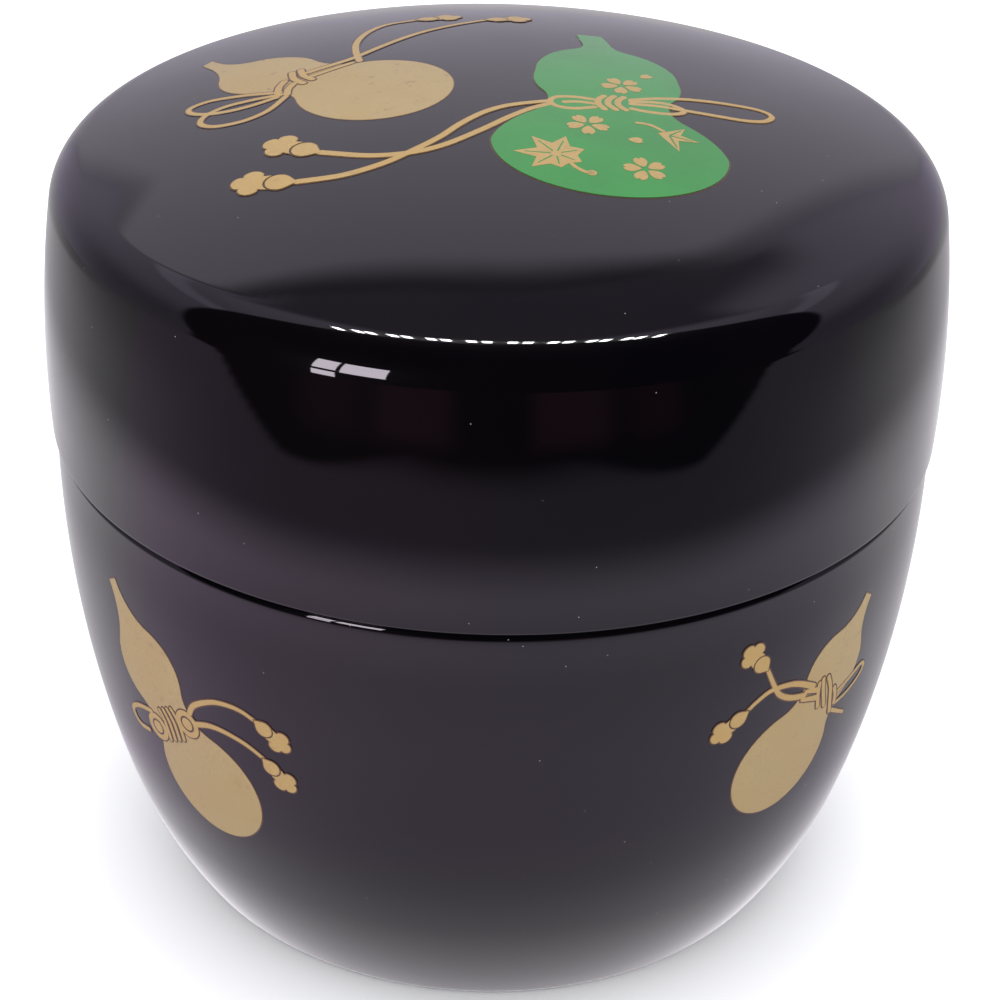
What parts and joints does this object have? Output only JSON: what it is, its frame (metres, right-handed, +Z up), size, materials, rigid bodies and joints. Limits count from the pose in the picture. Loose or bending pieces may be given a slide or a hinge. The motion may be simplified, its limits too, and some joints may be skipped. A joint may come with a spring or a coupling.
{
  "type": "tea caddy",
  "caption": "Round black-lacquered tea caddy with a domed cap lid that lifts off a standing rim, decorated with gold and green gourds.",
  "frame": {"origin": "centre of the base, on the surface the caddy stands on", "axes": "+Z up along the axis of turning; -Y towards the front, between the two front gourds"},
  "size_m": [0.066, 0.066, 0.062],
  "materials": {
    "turned_wood": "turned close-grained wood, sealed under the lacquer",
    "outer_lacquer": "black lacquer polished to a deep gloss",
    "inner_lacquer": "black lacquer, satin gloss",
    "base_lacquer": "black lacquer, satin, slightly worn on the standing ring",
    "gold_powder": "fine gold powder film, satin",
    "gold_line": "fine gold powder line, satin",
    "green_film": "green coloured lacquer, satin"
  },
  "bodies": {
    "body": {"body_core": "turned_wood", "body_lacquer": "outer_lacquer", "body_inner_lacquer": "inner_lacquer", "base_lacquer": "base_lacquer", "front_left_gourd": "gold_powder", "front_left_gourd_cord": "gold_line", "front_right_gourd": "gold_powder", "front_right_gourd_cord": "gold_line", "back_left_gourd": "gold_powder", "back_left_gourd_cord": "gold_line", "back_right_gourd": "gold_powder", "back_right_gourd_cord": "gold_line"},
    "lid": {"lid_core": "turned_wood", "lid_lacquer": "outer_lacquer", "lid_inner_lacquer": "inner_lacquer", "lid_gold_gourd": "gold_powder", "lid_gold_gourd_cord": "gold_line", "lid_green_gourd": "green_film", "lid_green_gourd_cord": "gold_line", "lid_green_gourd_flowers": "gold_line"}
  },
  "joints": [
    {"name": "lid_lift", "type": "slide", "parent": "body", "child": "lid", "axis": [0, 0, 1], "range_m": [0, 0.06]}
  ]
}
